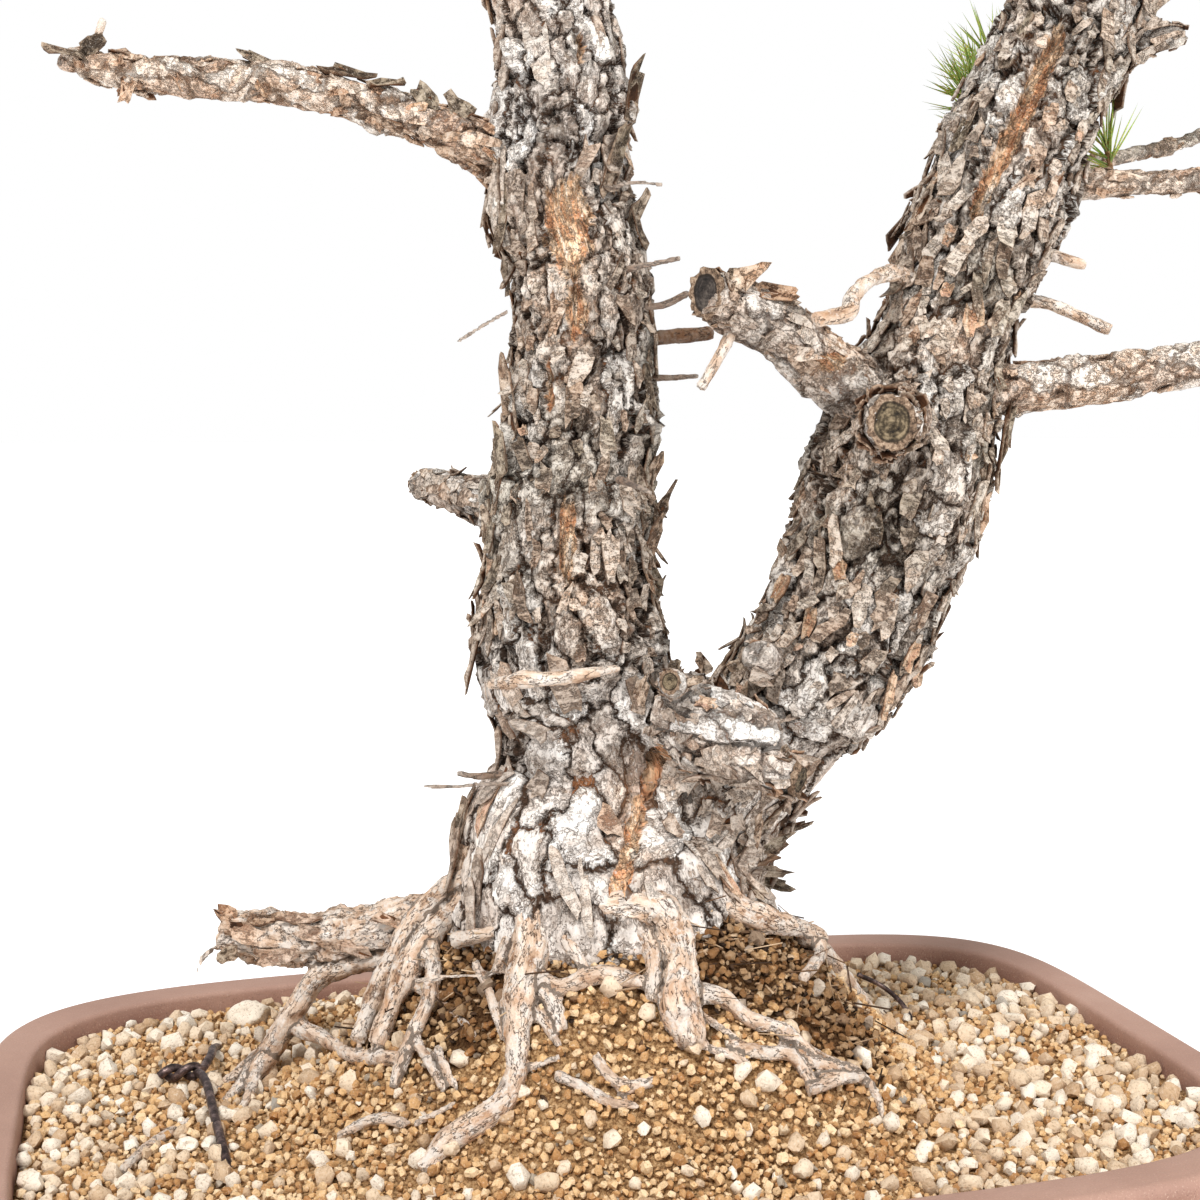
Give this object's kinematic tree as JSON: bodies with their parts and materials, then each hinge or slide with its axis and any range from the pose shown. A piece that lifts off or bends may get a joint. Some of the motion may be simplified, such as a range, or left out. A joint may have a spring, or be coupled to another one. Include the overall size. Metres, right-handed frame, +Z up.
{
  "type": "scots pine bonsai",
  "caption": "Twin-trunk scots pine bonsai on exposed roots with flaky bark, sawn stubs and needle pads, in a low rectangular clay pot with feet.",
  "frame": {"origin": "centre of the pot's middle foot, on the surface that the pot stands on", "axes": "+Z up along the tree's height, X along the pot's length, Y across the pot; the tree's front looks towards -Y, turned 14.5 degrees about Z"},
  "size_m": [0.6601, 0.3693, 0.849],
  "materials": {
    "bark": "matte",
    "needles": "matte",
    "soil": "matte",
    "pumice": "matte",
    "clay": "matte",
    "mesh_plastic": "matte",
    "wire": "satin"
  },
  "bodies": {
    "root": {"tree": "bark", "needle_pad_left_1": "needles", "needle_pad_left_2": "needles", "needle_pad_left_3": "needles", "needle_pad_left_4": "needles", "needle_pad_left_5": "needles", "needle_pad_left_6": "needles", "needle_pad_left_7": "needles", "needle_pad_left_8": "needles", "needle_pad_left_9": "needles", "needle_pad_right_1": "needles", "needle_pad_right_2": "needles", "needle_pad_right_3": "needles", "needle_pad_right_4": "needles", "needle_pad_right_5": "needles", "needle_pad_right_6": "needles", "needle_pad_right_7": "needles", "needle_pad_right_8": "needles", "needle_pad_right_9": "needles", "soil_bed": "soil", "pumice_stone_1": "pumice", "pumice_stone_2": "pumice", "pumice_stone_3": "pumice", "pumice_stone_4": "pumice", "pumice_stone_5": "pumice", "pumice_stone_6": "pumice", "pot": "clay", "drain_mesh_left": "mesh_plastic", "drain_mesh_right": "mesh_plastic", "mesh_clip_left": "wire", "mesh_clip_right": "wire", "tie_wire_left_front": "wire", "tie_wire_left_back": "wire", "tie_wire_right": "wire"}
  },
  "joints": []
}
